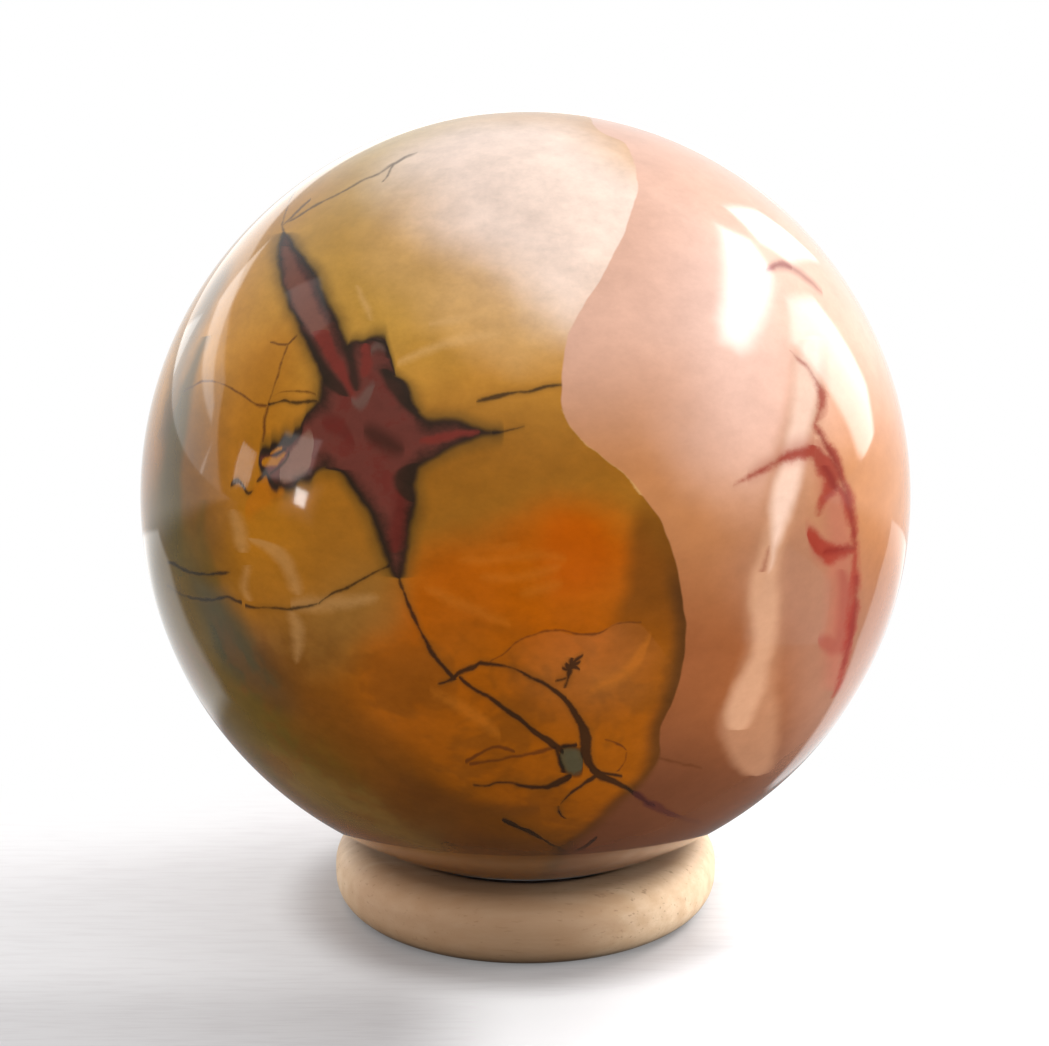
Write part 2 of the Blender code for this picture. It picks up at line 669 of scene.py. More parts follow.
wood = {
    "pale": (224, 198, 168),
    "warm": (200, 166, 132),
    "pore": (128, 94, 66),
    "tan": (150, 112, 80),  # painted shade: the front of the ring darker, as if in shadow
    "contactShade": (96, 74, 54),  # painted shade: the soft darker edges at the foot and the seat
    "acrossYears": (0.10, 0.93, 0.36),  # the way in which one year follows another
    "yearRings": 520,  # per metre that way
    "wander": (45.0, 0.0012),  # how often to a metre and how far the year rings wander
    "fibres": (60.0, 900.0, 900.0),  # long along X
    "pores": (500.0, 2600.0, 2600.0),
    "blotches": 160.0,
    "inTone": {"years": 0.07, "fibres": 0.62, "blotches": 0.5},
    "warmToPale": (0.35, 0.95),  # tones
    "poreLevels": (0.60, 0.74),
    "poreShare": 0.5,
    # painted shade on the front of the ring: the way towards it, where it starts and is full, and its share
    "towardFrontShade": (-0.35, -1, 0),
    "frontShadeFrom": (0.010, 0.018),  # metres that way
    "frontShadeShare": 0.70,
    "foot": (0.0, 0.0014),  # heights between which the painted shade at the foot ends
    "footShadeShare": 0.75,
    "seat": (0.0056, 0.0070),  # and between which that at the seat starts
    "seatShadeShare": 0.12,
    "fibreLevels": (0.2, 0.8),  # from smooth to rough
    "roughness": (0.42, 0.62),
    "relief": {"fibres": 0.6, "pores": 0.4},
    "reliefHeight": 0.00012,
    "reliefStrength": 0.5,
}


def woodMaterial():
    material, tree = newMaterial("sandedWood")
    place = addNode(tree, "ShaderNodeTexCoord", out="Object")
    turns, far = wood["wander"]
    along = place.shaken(place.noise(turns, 2.0, out="Color"), far)
    years = along.dot(wood["acrossYears"]) * (wood["yearRings"] * math.tau)
    years = years.maths("SINE") * 0.5 + 0.5
    fibres = along.stretched(*wood["fibres"]).noise(1.0, 3.0, 0.6)
    pores = place.stretched(*wood["pores"]).noise(1.0, 2.0, 0.7)
    blotches = place.noise(wood["blotches"], 3.0, 0.6)
    share = wood["inTone"]
    tone = years * share["years"] + fibres * share["fibres"] + blotches * share["blotches"]
    colour = tone.ramp(*wood["warmToPale"]).mix(screenColour(*wood["warm"]), screenColour(*wood["pale"]))
    inPore = pores.ramp(*wood["poreLevels"], 0.0, wood["poreShare"])
    colour = inPore.mix(colour, screenColour(*wood["pore"]))
    # painted shade: the front of the ring is darkened as if in shadow
    front = place.dot(wood["towardFrontShade"]).ramp(*wood["frontShadeFrom"], 0.0, wood["frontShadeShare"])
    colour = front.mix(colour, screenColour(*wood["tan"]))
    # painted shade where the ring meets the floor and where the ball sits on it
    height = place.dot((0, 0, 1))
    foot = height.ramp(*wood["foot"], wood["footShadeShare"], 0.0)
    edge = foot.most(height.ramp(*wood["seat"], 0.0, wood["seatShadeShare"]))
    colour = edge.mix(colour, screenColour(*wood["contactShade"]))
    relief = fibres * wood["relief"]["fibres"] + pores * wood["relief"]["pores"]
    values = {"Strength": wood["reliefStrength"], "Distance": wood["reliefHeight"], "Height": relief}
    bump = addNode(tree, "ShaderNodeBump", None, values)
    values = {
        "Base Color": colour,
        "Roughness": fibres.ramp(*wood["fibreLevels"], *wood["roughness"]),
        "Normal": bump,
        "IOR": 1.4,
    }
    addNode(tree, "ShaderNodeBsdfPrincipled", None, values).to("ShaderNodeOutputMaterial")
    return material


# The stone's colours, as a screen shows them; the darker ones at the bottom are partly painted shade, and
# two on the star's arms are painted reflections
stone = {
    "umber": (106, 58, 8),
    "bronze": (130, 82, 22),
    "gold": (174, 120, 42),
    "oliveGold": (172, 130, 54),
    "cream": (228, 204, 190),
    "greyCream": (192, 166, 116),
    "amber": (148, 92, 16),
    "paleGold": (200, 158, 104),
    "orange": (146, 72, 4),
    "hotOrange": (150, 68, 2),
    "rustOrange": (130, 68, 8),
    "brightOrange": (152, 84, 8),
    "greyOlive": (76, 58, 16),
    "bottleOlive": (50, 46, 26),
    "sideBrown": (96, 60, 6),
    "oliveFoot": (96, 70, 30),
    "leaf": (66, 56, 22),
    "khaki": (112, 82, 40),
    "darkFoot": (82, 46, 14),
    "darkOlive": (88, 50, 12),
    "seamShade": (60, 36, 16),
    "wedge": (138, 82, 40),
    "flesh": (150, 112, 68),
    "streak": (158, 90, 24),
    "pinkTop": (203, 160, 140),
    "pinkMiddle": (160, 107, 68),
    "pinkLow": (120, 69, 38),
    "pinkFoot": (88, 50, 30),
    "greyPink": (196, 160, 146),
    "greyRose": (130, 92, 74),
    "bandCream": (196, 166, 150),
    "bandFoot": (146, 104, 78),
    "bandMiddle": (164, 123, 96),
    "maroon": (92, 46, 38),
    # painted reflection: the haze over the star's upper arm
    "mauveReflection": (104, 60, 46),
    "plum": (62, 30, 28),
    # painted reflection: the pinkish haze over the star's left arm
    "reflectedPink": (118, 88, 74),
    "starRed": (104, 40, 32),
    "deepRed": (86, 30, 24),
    "hole": (46, 26, 18),
    "ash": (96, 78, 70),
    "rim": (38, 28, 20),
    "halo": (70, 54, 22),
    "crack": (24, 19, 14),
    "crackHalo": (74, 50, 20),
    "rustLine": (72, 36, 14),
    "greyGreen": (66, 62, 44),
    "red": (118, 28, 18),
    "darkRed": (92, 16, 12),
    "redGlow": (122, 58, 46),
    "rose": (138, 78, 62),
    "paleLine": (190, 150, 100),
}

# Clouds of colour, each laid over the ones before: a middle (and for a long one, a far end) in pixels of
# the photograph, the reach of its full colour and of its edge in radii, and how much of it shows
ochreClouds = [
    ("oliveGold", (330, 235), (390, 290), 0.06, 0.34, 0.9),
    ("greyCream", (400, 138), (440, 150), 0.04, 0.38, 0.8),
    ("paleGold", (430, 240), (520, 290), 0.04, 0.26, 0.6),
    ("cream", (505, 150), (585, 215), 0.11, 0.40, 1.0),
    ("cream", (585, 290), None, 0.03, 0.20, 0.8),
    ("paleGold", (470, 290), (540, 330), 0.00, 0.16, 0.6),
    ("amber", (270, 380), (262, 505), 0.03, 0.22, 0.7),
    ("orange", (450, 640), (585, 590), 0.12, 0.26, 1.0),
    ("hotOrange", (585, 570), None, 0.05, 0.13, 0.9),
    ("rustOrange", (440, 700), (570, 770), 0.12, 0.30, 0.9),
    ("khaki", (290, 640), (350, 605), 0.02, 0.14, 0.5),
    ("rustOrange", (655, 610), (640, 720), 0.03, 0.16, 0.8),
    ("sideBrown", (185, 440), (195, 540), 0.06, 0.26, 0.8),
    ("greyOlive", (172, 590), (285, 765), 0.13, 0.36, 0.95),
    ("bottleOlive", (214, 620), (268, 668), 0.04, 0.15, 0.85),
    ("bottleOlive", (218, 285), (172, 425), 0.02, 0.13, 0.7),
    ("darkOlive", (300, 660), (370, 760), 0.04, 0.20, 0.55),
    # the two clouds at the foot darken the bottom of the ball: partly the stone's own colour, partly
    # painted shade
    ("oliveFoot", (300, 780), (420, 832), 0.05, 0.17, 0.8),
    ("darkFoot", (400, 805), (610, 860), 0.04, 0.16, 0.85),
]

pinkClouds = [
    ("greyPink", (730, 310), (760, 400), 0.05, 0.34, 0.8),
    ("greyRose", (800, 560), (830, 700), 0.04, 0.30, 0.7),
]

# Where the ochre stone meets the pink, from the top of the photograph to the bottom
seam = [
    (589, 117), (598, 129), (625, 145), (633, 160), (638, 187), (632, 210), (619, 244), (604, 273),
    (578, 315),
    (566, 346), (562, 385), (564, 411), (580, 438), (606, 459), (630, 480), (643, 496), (661, 522),
    (674, 558),
    (683, 600), (686, 637), (682, 668), (672, 702), (661, 728), (659, 755), (646, 781), (619, 802),
    (598, 825),
    (572, 846), (560, 862),
]
# and round the back, as heights and offsets to the same side, in millimetres
seamBehind = [(34, 4), (26, 9), (18, 6), (10, -3), (2, -8), (-6, -5), (-14, 3), (-22, 9), (-30, 8),
              (-35, 3)]

# The right edge of the hot orange, where a dark olive band starts and runs to the seam
oliveBand = {
    "edge": [(640, 450), (634, 500), (624, 540), (622, 590), (612, 612), (606, 640), (612, 700)],
    "top": (470, 540),
    "bottom": (590, 690),
    "fade": (-0.016, 0.040),  # radii
    "share": 0.8,
}

# The pale pinkish wedge under the orange, by its upper edge across the photograph
wedge = {
    "edge": [(490, 664), (505, 652), (519, 640), (535, 634), (553, 630), (572, 634), (590, 634),
             (605, 629), (620, 622), (640, 624), (654, 640)],
    "soft": 0.004,
    "middle": (590, 655),
    "core": 0.05,
    "reach": 0.24,
    "share": 0.4,
}

# The maroon star, by its left and right edges down the photograph
starBody = {
    "left": [
        (284, 234), (280, 243), (278, 256), (281, 270), (284, 286), (290, 305), (297, 320), (303, 335),
        (308, 347),
        (314, 360), (320, 372), (321, 388), (319, 401), (312, 424), (314, 450), (317, 468), (326, 467),
        (334, 469),
        (341, 474), (350, 485), (360, 498), (367, 508), (373, 520), (378, 533), (382, 547), (387, 560),
        (396, 577),
    ],
    "right": [
        (284, 234), (292, 241), (298, 252), (304, 258), (311, 266), (317, 277), (322, 290), (330, 307),
        (337, 320),
        (341, 332), (346, 343), (354, 354), (368, 362), (382, 366), (389, 370), (395, 376),
        (403, 382), (409, 390), (412, 400), (417, 410), (422, 440), (419, 463), (415, 474), (413, 487),
        (415, 500),
        (413, 515), (409, 530), (407, 545), (405, 560), (402, 577),
    ],
}
# and its side arms and the knob on its shoulder, by their upper and lower edges across the photograph
starArms = {
    "leftArm": {
        "upper": [(259, 455), (264, 447), (269, 448), (273, 441), (280, 443), (284, 436), (291, 437),
                  (295, 430), (301, 427), (305, 415), (312, 407), (319, 400), (340, 396)],
        "lower": [(259, 462), (262, 472), (266, 474), (270, 485), (276, 490), (281, 486), (286, 488),
                  (294, 487), (300, 480), (307, 481), (316, 471), (325, 467), (332, 467), (340, 471)],
    },
    "knob": {
        "upper": [(338, 352), (346, 346), (354, 342), (363, 343), (371, 339), (378, 337), (384, 337),
                  (388, 346), (391, 358), (396, 375)],
        "lower": [(338, 354), (346, 364), (368, 382), (391, 376), (396, 377)],
    },
    "rightArm": {
        "upper": [(398, 392), (411, 402), (418, 413), (428, 420), (445, 421), (460, 422), (472, 426),
                  (485, 431), (502, 437)],
        "lower": [(398, 482), (412, 472), (420, 465), (430, 459), (440, 453), (450, 448), (467, 441),
                  (480, 436), (502, 431)],
    },
}

# Marks on the stone in the order in which they are laid on: a colour, the share that shows, how soft the
# edge is in pixels, and strokes that are runs of (x, y, half width) in pixels of the photograph
stains = {
    "fleshySmear": {"colour": "flesh", "share": 0.45, "soft": 6, "strokes": [
        [(233, 510, 3), (239, 530, 7), (243, 552, 3)],
        [(250, 538, 2), (270, 547, 6), (288, 568, 6), (298, 596, 2)],
        [(290, 606, 3), (320, 604, 7), (350, 601, 6), (380, 598, -2)],
        [(290, 610, 2), (298, 632, 6), (296, 664, -2)],
        [(247, 566, 2), (244, 586, 3), (250, 600, 1)],
    ]},
    "orangeSmear": {"colour": "brightOrange", "share": 0.55, "soft": 7, "strokes": [
        [(246, 510, 5), (256, 498, 12), (268, 490, 13), (284, 486, 5)],
    ]},
    "leaf": {"colour": "leaf", "share": 0.8, "soft": 5, "strokes": [
        [(210, 326, 1), (192, 372, 6), (178, 430, 10), (171, 490, 12), (173, 540, 9), (181, 576, 2)],
    ]},
    "oliveStreak": {"colour": "greyOlive", "share": 0.5, "soft": 6, "strokes": [
        [(170, 432, 3), (166, 480, 8), (170, 530, 9), (182, 575, 4)],
        [(204, 500, 3), (200, 530, 5), (206, 560, 6), (216, 585, 3)],
    ]},
    "paleArc": {"colour": "paleGold", "share": 0.4, "soft": 5, "strokes": [
        [(398, 362, 1.5), (420, 353, 3), (445, 344, 4.5), (470, 338, 4), (500, 334, 2)],
    ]},
    "seamLine": {"colour": "paleLine", "share": 0.5, "soft": 1.6, "strokes": [
        [(563, 409, 0.5), (569, 420, 1.2), (580, 437, 1.3), (606, 458, 1.3), (630, 479, 1.3),
         (643, 495, 0.8)],
    ]},
}

lowStreaksAndShade = {
    "paleStreak": {"colour": "streak", "share": 0.4, "soft": 6, "strokes": [
        [(484, 543, 1), (500, 542, 5), (520, 544, 1)],
        [(455, 558, 1), (480, 560, 2), (510, 557, 2.5), (540, 555, 4), (566, 558, 1)],
        [(480, 577, 1), (510, 578, 3), (545, 572, 5), (560, 566, 1)],
        [(520, 594, 1), (540, 590, 5), (562, 584, 1)],
        [(425, 590, 1), (450, 600, 4), (480, 612, 3), (510, 625, 1)],
        [(590, 690, 1), (620, 676, 4), (640, 655, 5), (650, 636, 1)],
        [(430, 690, 2), (470, 712, 6), (500, 735, 3)],
    ]},
    # darker brown at the bottom of the ball above the ring: partly the stone's own colour, partly painted
    # shade
    "brownShade": {"colour": "darkFoot", "share": 0.6, "soft": 8, "strokes": [
        [(462, 834, 1), (500, 842, 4), (545, 848, 2)],
        [(400, 780, 4), (440, 800, 10), (500, 812, 8), (540, 808, 3)],
        [(400, 842, 4), (470, 846, 8), (540, 852, 6)],
    ]},
}

bands = {
    "creamGlow": {"colour": "bandFoot", "share": 0.7, "soft": 10, "smooth": True, "strokes": [
        [(812, 340, 8), (806, 400, 18), (793, 455, 18), (784, 500, 16), (772, 545, 14), (765, 590, 18),
         (764, 640, 16), (757, 672, 18)],
        [(760, 662, 14), (754, 690, 22), (750, 720, 30), (752, 748, 26), (757, 775, 8)],
    ]},
    "creamFoot": {"colour": "bandMiddle", "share": 0.8, "soft": 7, "smooth": True, "strokes": [
        [(792, 468, 6), (786, 489, 11), (779, 520, 12), (775, 535, 11), (770, 556, 10), (765, 575, 12),
         (764, 600, 14), (766, 622, 12), (764, 645, 10), (757, 668, 11), (748, 690, 16), (741, 712, 15),
         (738, 730, 6)],
    ]},
    "cream": {"colour": "bandCream", "share": 0.85, "soft": 7, "smooth": True, "strokes": [
        [(814, 336, 5), (810, 360, 13), (807, 385, 14), (803, 410, 12), (797, 440, 11), (792, 465, 11.5),
         (786, 489, 12), (781, 510, 10), (778, 530, 6), (774, 550, 1), (768, 575, -5)],
    ]},
}

redMarks = {
    "rose": {"colour": "rose", "share": 0.7, "soft": 12, "strokes": [
        [(818, 440, 3), (830, 480, 12), (839, 520, 15), (841, 560, 15), (842, 600, 15), (838, 640, 14),
         (834, 690, 6)],
        [(806, 530, 3), (818, 546, 12), (832, 551, 13), (850, 550, 9)],
        [(748, 476, 1), (776, 460, 5), (795, 451, 9), (814, 449, 10)],
    ]},
    "redSmear": {"colour": "redGlow", "share": 0.75, "soft": 6, "strokes": [
        [(818, 640, 3), (834, 646, 9), (852, 644, 7)],
        [(842, 570, 3), (846, 600, 8), (844, 625, 8), (838, 650, 5)],
    ]},
    "red": {"colour": "red", "share": 0.8, "soft": 5, "rough": 2.4, "strokes": [
        [(733, 486, 0.6), (748, 477, 1.6), (760, 471, 2.2), (778, 461, 2.8), (796, 454, 3.6),
         (813, 453, 5)],
        [(813, 446, 4), (820, 458, 9), (828, 470, 12), (832, 482, 9), (829, 494, 7), (822, 504, 4),
         (819, 516, 1)],
        [(838, 486, 2), (846, 500, 5), (850, 514, 5), (853, 528, 3)],
        [(808, 534, 4), (818, 545, 9), (828, 552, 10), (842, 552, 7), (856, 549, 6)],
        [(790, 351, 0.6), (800, 360, 1.0), (808, 368, 1.4), (814, 377, 1.8), (820, 387, 2.4),
         (823, 398, 3.0)],
        [(823, 396, 3), (820, 410, 3), (815, 424, 2)],
        [(814, 424, 1.6), (826, 442, 3.4), (837, 463, 4.0), (845, 484, 3.6), (850, 502, 3.4),
         (854, 521, 3.2), (855, 545, 3.6)],
        [(854, 541, 4.5), (855, 561, 4.5), (854, 601, 5), (852, 621, 5.5), (849, 641, 5), (841, 678, 4),
         (832, 698, 2)],
    ]},
    "darkRed": {"colour": "darkRed", "share": 0.55, "soft": 4, "rough": 1.6, "strokes": [
        [(817, 430, 0.8), (828, 448, 2.2), (836, 466, 3.0), (842, 484, 2.4), (849, 505, 1.6),
         (853, 525, 1.2), (855, 545, 1.6)],
        [(824, 466, 3), (832, 480, 4.5), (836, 492, 1)],
        [(822, 552, 1), (832, 550, 2.5), (844, 549, 2.5), (855, 547, 2)],
        [(856, 575, 1), (856, 601, 2.0), (853, 625, 2.2), (849, 645, 1.4), (843, 670, 0.8)],
        [(769, 546, 0.6), (766, 558, 0.9), (762, 572, 1.2)],
    ]},
}

redAtTop = {
    "redSmear": {"colour": "redGlow", "share": 0.75, "soft": 6, "strokes": [
        [(765, 272, 2), (778, 265, 4), (792, 268, 4), (806, 278, 3), (822, 292, 1)],
    ]},
    "red": {"colour": "red", "share": 0.7, "soft": 3, "strokes": [
        [(764, 270, 1.0), (773, 266, 2), (783, 264, 2.4), (792, 268, 1.4)],
    ]},
}

starMarks = {
    # painted reflection: a pale haze over the star's upper arm
    "mauveReflection": {"colour": "mauveReflection", "share": 0.85, "soft": 4, "strokes": [
        [(285, 246, 3), (291, 268, 7), (299, 290, 10), (309, 312, 10), (317, 326, 9), (320, 333, 7)],
    ]},
    # painted reflection: the pinkish haze over the star's left arm
    "armReflection": {"colour": "reflectedPink", "share": 0.7, "soft": 4, "strokes": [
        [(280, 474, 5), (293, 464, 11), (305, 453, 13), (313, 442, 5)],
    ]},
    "deepRed": {"colour": "deepRed", "share": 0.7, "soft": 6, "strokes": [
        [(399, 490, 3), (400, 508, 7), (397, 530, 7), (395, 552, 3)],
        [(322, 422, 3), (340, 427, 8), (354, 444, 3)],
    ]},
    "streak": {"colour": "starRed", "share": 0.9, "soft": 3, "strokes": [
        [(320, 331, 7), (329, 350, 6.5), (339, 368, 5.5), (348, 385, 4), (355, 399, 1)],
        [(366, 345, 2), (367, 362, 5), (364, 377, 2)],
        [(420, 441, 2), (440, 438, 4), (462, 434, 3), (480, 432, 1)],
    ]},
    "ash": {"colour": "ash", "share": 0.55, "soft": 5, "strokes": [
        [(352, 399, 2), (358, 403, 6), (367, 396, 6), (374, 386, 2)],
        [(372, 352, 2), (380, 346, 4), (386, 350, 2)],
    ]},
    "dark": {"colour": "rim", "share": 0.85, "soft": 4, "strokes": [
        [(303, 333, 2), (309, 346, 3.5), (316, 360, 5), (325, 374, 7), (335, 386, 6), (346, 396, 2)],
        [(384, 370, 3), (395, 383, 7), (404, 394, 8), (412, 405, 7), (422, 417, 3)],
        [(348, 345, 3), (351, 360, 5), (354, 376, 5), (357, 390, 2)],
        [(416, 463, 3), (407, 473, 9), (404, 485, 8), (412, 500, 4)],
        [(334, 468, 2), (344, 477, 4), (356, 492, 4), (366, 507, 4), (375, 523, 3.5), (381, 545, 4),
         (388, 562, 3)],
        [(374, 340, 3), (386, 343, 3), (388, 358, 2)],
    ]},
    "hole": {"colour": "hole", "share": 0.75, "soft": 9, "strokes": [
        [(364, 431, 3), (380, 438, 9), (392, 445, 8), (404, 449, 3)],
    ]},
    "lobes": {"colour": "rim", "share": 0.85, "soft": 2.5, "strokes": [
        [(261, 453, 2), (268, 450, 3), (275, 446, 2.4), (283, 443, 3.4), (290, 438, 6.5), (296, 434, 5),
         (303, 429, 2)],
        [(270, 474, 1), (279, 467, 1.8), (286, 460, 1.4), (291, 452, 1.8)],
        [(262, 468, 2.4), (269, 479, 2), (277, 487, 1.6), (284, 489, 0.8)],
        [(272, 457, 1), (280, 453, 2), (288, 448, 2)],
    ]},
    "orangeGap": {"colour": "amber", "share": 0.95, "soft": 2.5, "strokes": [
        [(262, 462, 2), (268, 461, 4), (275, 462, 4.5), (282, 457, 2), (287, 453, 0.6)],
        [(270, 454, 0.8), (277, 450, 1.6), (283, 448, 0.8)],
    ]},
}

# Brown and black threads: those round the star, the net in the lower middle, and the few in the pink
threadsByStar = {
    "rust": {"colour": "rustLine", "share": 0.8, "soft": 1.6, "strokes": [
        [(297, 336, 1.0), (291, 341, 1.0), (286, 345, 1.2), (278, 344, 0.8), (270, 342, 0.6)],
        [(287, 345, 1.0), (283, 357, 1.0), (277, 376, 1.1), (272, 394, 1.2), (268, 405, 1.0),
         (264, 425, 1.1), (262, 443, 0.8)],
        [(184, 392, 0.7), (203, 382, 0.9), (221, 384, 1.0), (242, 395, 1.2), (259, 406, 1.4),
         (268, 406, 1.2)],
        [(270, 398, 0.6), (285, 391, 0.8), (300, 391, 0.8), (316, 394, 0.5)],
    ]},
    "black": {"colour": "crack", "share": 0.8, "soft": 1.5,
              "halo": {"colour": "crackHalo", "share": 0.2, "reach": 5}, "strokes": [
        [(398, 560, 3.0), (400, 578, 1.6), (405, 597, 1.2), (412, 613, 1.2)],
        [(390, 565, 1.7), (376, 572, 1.2), (362, 579, 1.3), (350, 586, 1.4), (334, 592, 0.8),
         (319, 603, 0.7)],
        [(319, 603, 0.6), (303, 608, 0.8), (287, 609, 1.0), (256, 608, 1.0), (245, 605, 0.8)],
        [(242, 602, 1.5), (226, 597, 1.1), (212, 600, 1.2), (204, 600, 1.2), (181, 594, 1.0),
         (166, 585, 0.7)],
        [(230, 572, 1.0), (212, 574, 1.2), (190, 572, 1.4), (176, 565, 1.0), (168, 562, 0.6)],
        [(230, 485, 1.4), (236, 481, 3.0), (242, 486, 2.4), (248, 493, 2.6), (253, 490, 0.8)],
        [(256, 482, 0.8), (261, 478, 1.6), (266, 473, 0.8)],
        [(268, 405, 1.5), (278, 402, 1.2), (284, 400, 1.7), (292, 402, 1.7), (304, 402, 1.0),
         (316, 400, 0.8)],
        [(477, 402, 1.2), (490, 398, 1.8), (502, 395, 1.6), (518, 392, 1.4), (530, 391, 1.5),
         (545, 387, 1.4), (563, 385, 0.9)],
        [(492, 433, 2.0), (500, 433, 1.2), (510, 431, 0.8), (524, 427, 0.4)],
    ]},
}

threadsAtTop = {
    "pale": {"colour": "paleGold", "share": 0.4, "soft": 4, "strokes": [
        [(357, 285, 1), (364, 302, 3), (370, 320, 1)],
        [(430, 324, 1), (470, 317, 3), (510, 314, 1)],
    ]},
    "black": {"colour": "crack", "share": 0.7, "soft": 1.6, "strokes": [
        [(418, 152, 0.6), (405, 157, 0.7), (384, 170, 1.0), (355, 185, 0.9), (324, 201, 0.8),
         (287, 222, 0.9)],
        [(393, 164, 1.0), (388, 173, 1.1), (382, 182, 0.7)],
        [(311, 199, 0.7), (298, 211, 0.9), (282, 226, 0.9)],
        [(296, 190, 0.7), (287, 208, 0.9), (283, 221, 1.1), (283, 236, 1.2)],
    ]},
}

threadNet = {
    "greyGreen": {"colour": "greyGreen", "share": 0.9, "soft": 3, "rough": 1.6,
                  "halo": {"colour": "crack", "share": 0.7, "reach": 7}, "strokes": [
        [(560, 758, 5), (570, 761, 12), (582, 762, 8)],
    ]},
    "rust": {"colour": "rustLine", "share": 0.8, "soft": 1.6, "strokes": [
        [(556, 748, 1.2), (541, 751, 1.2), (525, 755, 1.0), (513, 757, 1.2), (498, 760, 1.4),
         (485, 762, 1.4), (470, 764, 1.5)],
        [(466, 762, 2), (473, 758, 1.6), (480, 753, 1.4), (488, 749, 1.2), (497, 747, 1.2),
         (506, 749, 1.2), (514, 752, 0.8)],
        [(604, 740, 0.7), (613, 742, 0.8), (621, 745, 0.9), (627, 751, 0.6)],
        [(627, 752, 0.8), (624, 763, 0.9), (617, 771, 0.6)],
        [(490, 662, 0.5), (505, 652, 0.6), (520, 640, 0.7), (535, 634, 0.8), (553, 630, 0.8),
         (590, 634, 0.8), (620, 623, 0.7), (642, 622, 0.5)],
    ]},
    "black": {"colour": "crack", "share": 0.85, "soft": 1.6,
              "halo": {"colour": "crackHalo", "share": 0.25, "reach": 6}, "strokes": [
        [(400, 578, 1.2), (405, 597, 1.2), (412, 613, 1.2), (420, 630, 1.5), (430, 650, 1.6),
         (440, 663, 1.6), (454, 679, 1.9)],
        [(438, 683, 0.7), (447, 680, 1.2), (455, 676, 2.0), (458, 673, 1.2)],
        [(456, 674, 1.9), (466, 670, 1.6), (474, 667, 1.6), (480, 663, 1.9), (490, 664, 1.5),
         (505, 666, 1.3), (520, 671, 1.6), (533, 678, 1.7), (545, 684, 2.0), (557, 693, 2.3),
         (567, 701, 3.1)],
        [(563, 697, 2.0), (569, 704, 3.1), (575, 712, 3.9), (580, 722, 4.5), (585, 735, 4.8),
         (586, 748, 4.4), (588, 760, 4.3), (594, 770, 3.1)],
        [(459, 677, 1.4), (475, 689, 2.0), (490, 697, 2.0), (505, 708, 2.3), (519, 718, 2.7),
         (530, 728, 2.7), (543, 737, 2.9), (553, 745, 3.4), (563, 752, 2.3)],
        [(590, 766, 4.3), (599, 774, 3.9), (612, 781, 2.7), (625, 788, 2.3), (640, 797, 2.0),
         (655, 806, 0.8)],
        [(600, 773, 1.6), (610, 774, 1.4), (621, 777, 0.8)],
        [(570, 776, 2.7), (560, 781, 3.9), (552, 785, 3.0), (545, 788, 2.8), (533, 787, 2.2),
         (520, 785, 1.7), (505, 783, 1.5), (497, 783, 1.7), (485, 786, 1.2), (473, 785, 0.6)],
        [(557, 749, 2.0), (566, 747, 1.9), (577, 745, 1.9)],
        [(556, 748, 2.0), (559, 760, 2.0), (563, 772, 2.3)],
        [(597, 776, 1.4), (587, 782, 1.2), (577, 789, 1.2), (567, 796, 1.2), (560, 804, 1.0)],
        [(558, 806, 1.0), (561, 815, 1.2), (566, 819, 0.5)],
        [(580, 661, 0.6), (573, 665, 1.7), (569, 670, 2.3)],
        [(566, 663, 0.8), (569, 671, 2.7), (567, 680, 2.3), (565, 688, 1.1)],
        [(571, 658, 0.6), (570, 666, 1.8), (567, 674, 1.4)],
        [(562, 668, 0.8), (567, 670, 2.0), (574, 667, 1.6), (579, 669, 0.7)],
        [(582, 655, 0.5), (576, 659, 1.2), (571, 664, 1.4)],
        [(556, 681, 1.1), (562, 679, 2.0), (568, 677, 1.6)],
        [(503, 820, 2.4), (512, 824, 3.2), (525, 830, 2.4), (540, 837, 1.6), (552, 845, 1.2),
         (565, 852, 1.1), (576, 859, 0.9), (592, 866, 0.6)],
        [(572, 853, 0.8), (585, 846, 0.9), (597, 837, 0.6)],
        [(640, 804, 1.1), (636, 810, 1.2), (633, 814, 0.6)],
    ]},
}

threadsInPink = {
    "rust": {"colour": "rustLine", "share": 0.6, "soft": 1.8, "strokes": [
        [(652, 756, 0.8), (675, 762, 1.2), (703, 768, 0.8)],
    ]},
    "black": {"colour": "crack", "share": 0.8, "soft": 1.6, "strokes": [
        [(590, 766, 4.3), (599, 774, 3.9), (612, 781, 2.7), (625, 788, 2.3), (640, 797, 2.0),
         (655, 806, 0.8)],
        [(572, 853, 1.0), (585, 846, 1.2), (597, 837, 0.8)],
    ]},
    "plum": {"colour": "plum", "share": 0.7, "soft": 2.4, "rough": 1.6, "strokes": [
        [(632, 792, 1), (642, 798, 3.4), (655, 806, 4.0), (668, 812, 3.0), (685, 819, 1.6),
         (700, 822, 0.8)],
    ]},
}

# The round area of the thread net: its middle in pixels, and its reach and soft edge in radii
aroundNet = {
    "middle": (560, 740),
    "reach": 0.52,
    "soft": 0.01,
}

grain = {
    "broad": 2.2,  # how many to a radius of the ball
    "small": 15.0,
    "fine": 10.0,
    "inOchre": 0.34,  # how much the grain lightens and darkens the colour
    "inPink": 0.20,
    "patches": 6.0,  # olive patches in the orange
    "patchLevels": (0.47, 0.60),
    "patchShare": 0.45,
    "roughEdges": 0.010,  # how far the grain frays the edges of marks, in radii
    "broadDrift": 0.11,  # how far the broad and the small grain shift the clouds of colour
    "smallDrift": 0.012,
    "markDrift": 0.006,  # how far the small grain shifts the marks
}

shine = {
    "grainLevels": (0.3, 0.7),  # from smooth to rough
    "roughness": (0.045, 0.075),
    "bend": 1.36,  # index of refraction
    "ripples": 5.0,  # to a radius, left by the hand polishing
    "rippleHeight": 0.00003,
}

